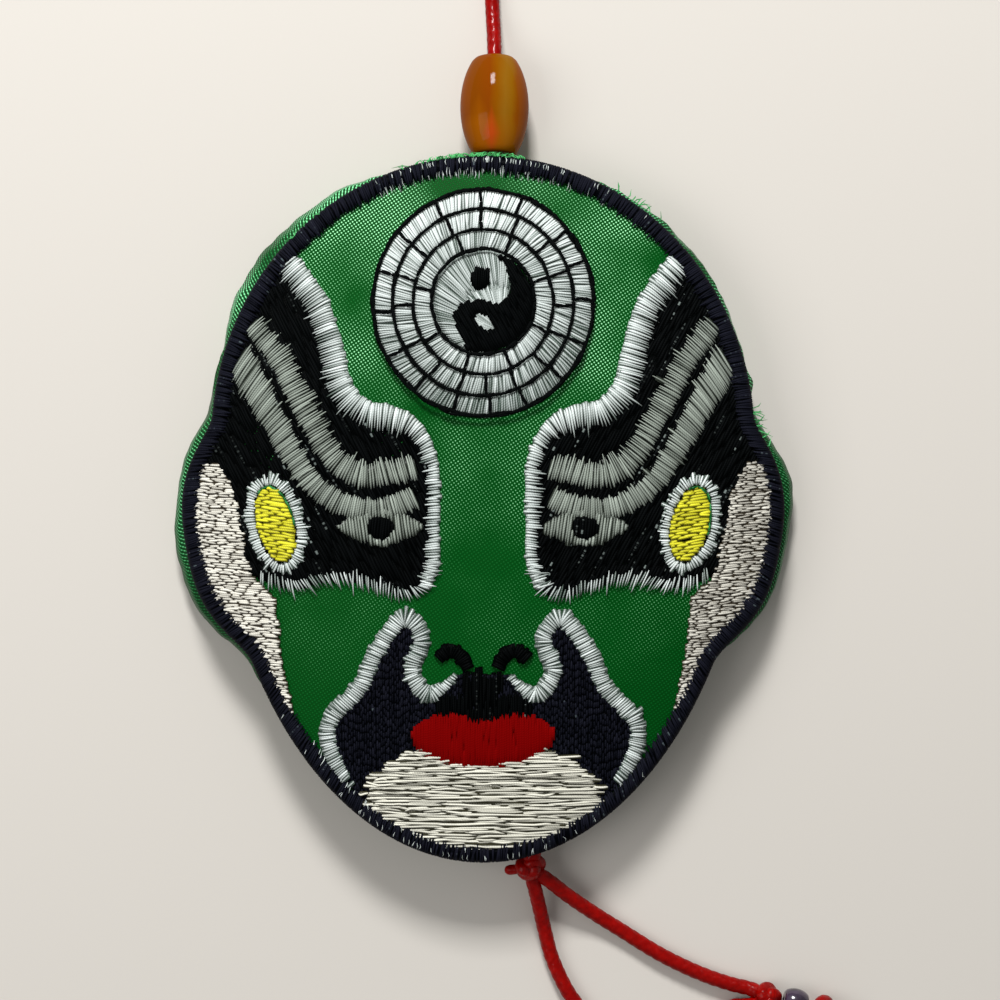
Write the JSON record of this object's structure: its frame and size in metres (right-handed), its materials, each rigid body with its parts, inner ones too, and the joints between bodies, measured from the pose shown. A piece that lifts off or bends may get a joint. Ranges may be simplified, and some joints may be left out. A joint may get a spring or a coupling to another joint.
{
  "type": "opera mask sachet",
  "caption": "Small stuffed sachet in the form of an opera mask, embroidered satin with a red cord and bead to hang it by.",
  "frame": {"origin": "on the surface the sachet lies on, under the middle of its box without the cords", "axes": "+Z out of the face, towards the viewer; +Y from chin to forehead; +X to the viewer's right"},
  "size_m": [0.0947, 0.2013, 0.0171],
  "materials": {
    "green_satin": "woven satin with a soft sheen",
    "black_thread": "rayon embroidery thread, blue-black",
    "pale_thread": "rayon embroidery thread, off-white",
    "grey_thread": "rayon embroidery thread, silver grey",
    "flesh_thread": "rayon embroidery thread, pale flesh",
    "cream_thread": "rayon embroidery thread, cream",
    "yellow_thread": "rayon embroidery thread, lemon yellow",
    "red_thread": "rayon embroidery thread, dark red",
    "red_cord": "braided satin cord, red",
    "amber_stone": "polished translucent amber-brown stone",
    "plum_stone": "polished dark plum bead"
  },
  "bodies": {
    "root": {"amber_bead": "amber_stone", "beard_band_left": "pale_thread", "beard_band_right": "pale_thread", "beard_ground": "black_thread", "bottom_knot": "red_cord", "brow_band_lower_left": "grey_thread", "brow_band_lower_right": "grey_thread", "brow_band_upper_left": "grey_thread", "brow_band_upper_right": "grey_thread", "brow_border_left": "pale_thread", "brow_border_right": "pale_thread", "brow_ground_left": "black_thread", "brow_ground_right": "black_thread", "chin": "cream_thread", "ear_left": "flesh_thread", "ear_right": "flesh_thread", "edging": "black_thread", "end_knot": "red_cord", "eye_field_left": "grey_thread", "eye_field_right": "grey_thread", "eye_pupil_left": "black_thread", "eye_pupil_right": "black_thread", "front_panel": "green_satin", "hanging_cord": "red_cord", "hanging_loop": "red_cord", "joining_knot": "red_cord", "lips": "red_thread", "loop_knot": "red_cord", "medallion_disc": "pale_thread", "medallion_lines": "black_thread", "nostril_left": "black_thread", "nostril_right": "black_thread", "plum_bead": "plum_stone", "strand_left": "red_cord", "strand_right": "red_cord", "stuffed_back": "green_satin", "taiji_dark": "black_thread", "taiji_dot": "black_thread", "temple_oval_left": "yellow_thread", "temple_oval_right": "yellow_thread", "temple_ring_left": "pale_thread", "temple_ring_right": "pale_thread"}
  },
  "joints": []
}
